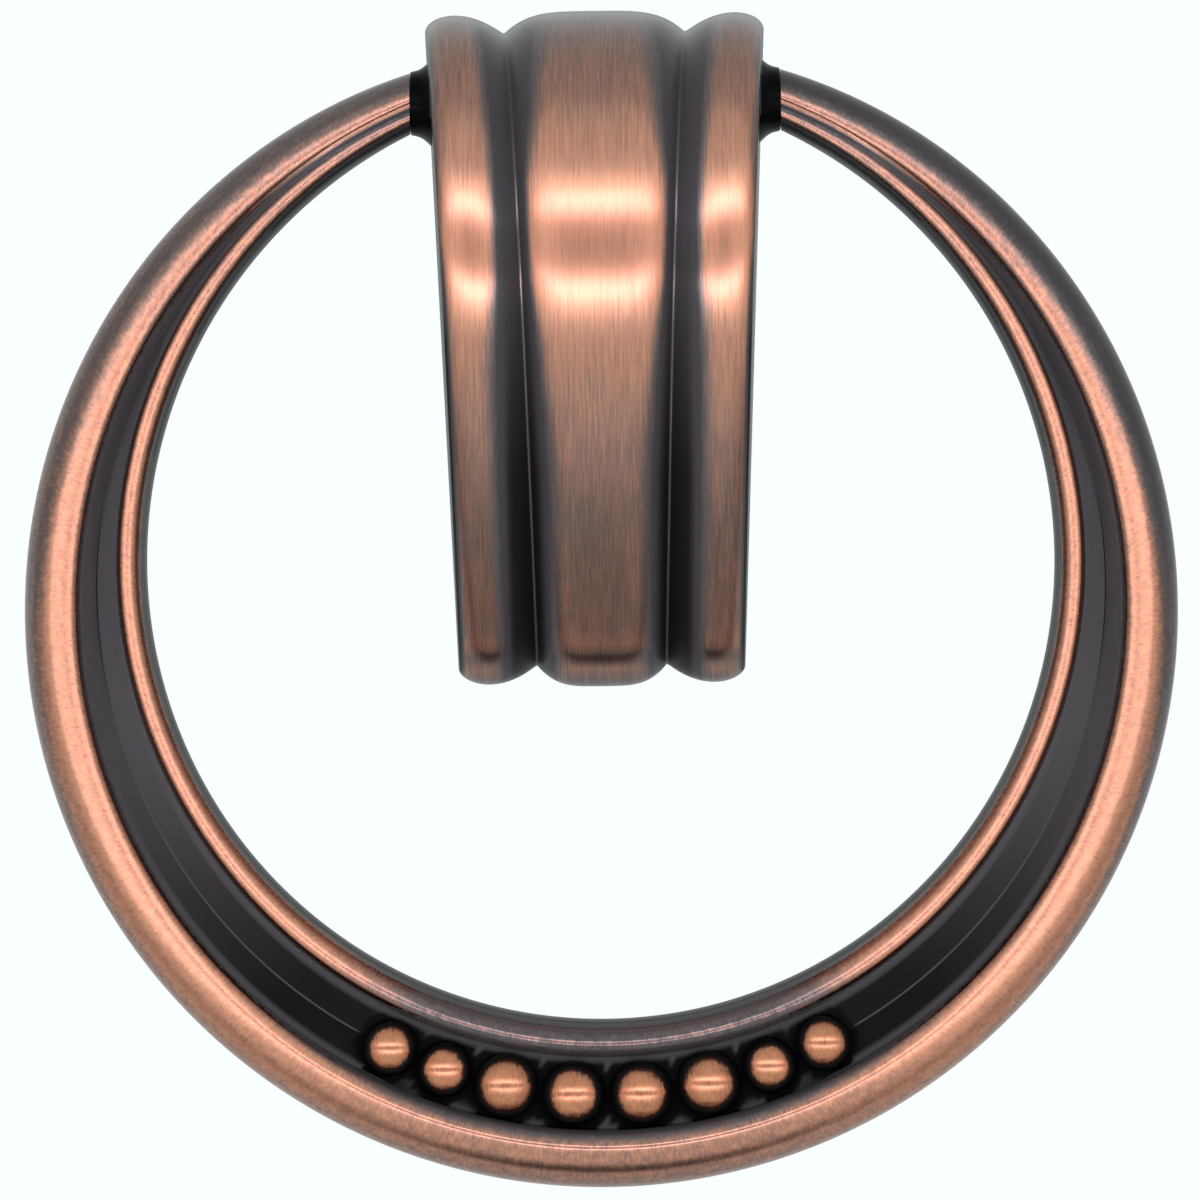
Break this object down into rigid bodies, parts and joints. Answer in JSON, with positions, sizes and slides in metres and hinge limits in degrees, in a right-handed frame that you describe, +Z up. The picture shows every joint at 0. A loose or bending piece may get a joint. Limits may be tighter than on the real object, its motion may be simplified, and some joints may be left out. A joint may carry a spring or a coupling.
{
  "type": "ring pull handle",
  "caption": "Ring pull handle for a drawer or cabinet door: a round ring with a beaded groove swings on a ribbed mount held by one screw from behind.",
  "frame": {"origin": "centre of the mouth of the tapped hole in the mount's flat back face", "axes": "+Y out of the tapped hole, towards the door; -Y towards the user; +Z up with the ring hanging; +X to the right as seen by the user"},
  "size_m": [0.054, 0.014, 0.0553],
  "materials": {
    "mount": "brushed copper with dark patina in the recesses",
    "ring": "brushed copper with dark patina in the groove"
  },
  "bodies": {
    "mount": {"mount": "mount"},
    "ring": {"ring": "ring"}
  },
  "joints": [
    {"name": "ring_swing", "type": "hinge", "parent": "mount", "child": "ring", "pos_m": [0, -0.0066, 0.0115], "axis": [-1, 0, 0], "range_deg": [-5, 174]}
  ]
}
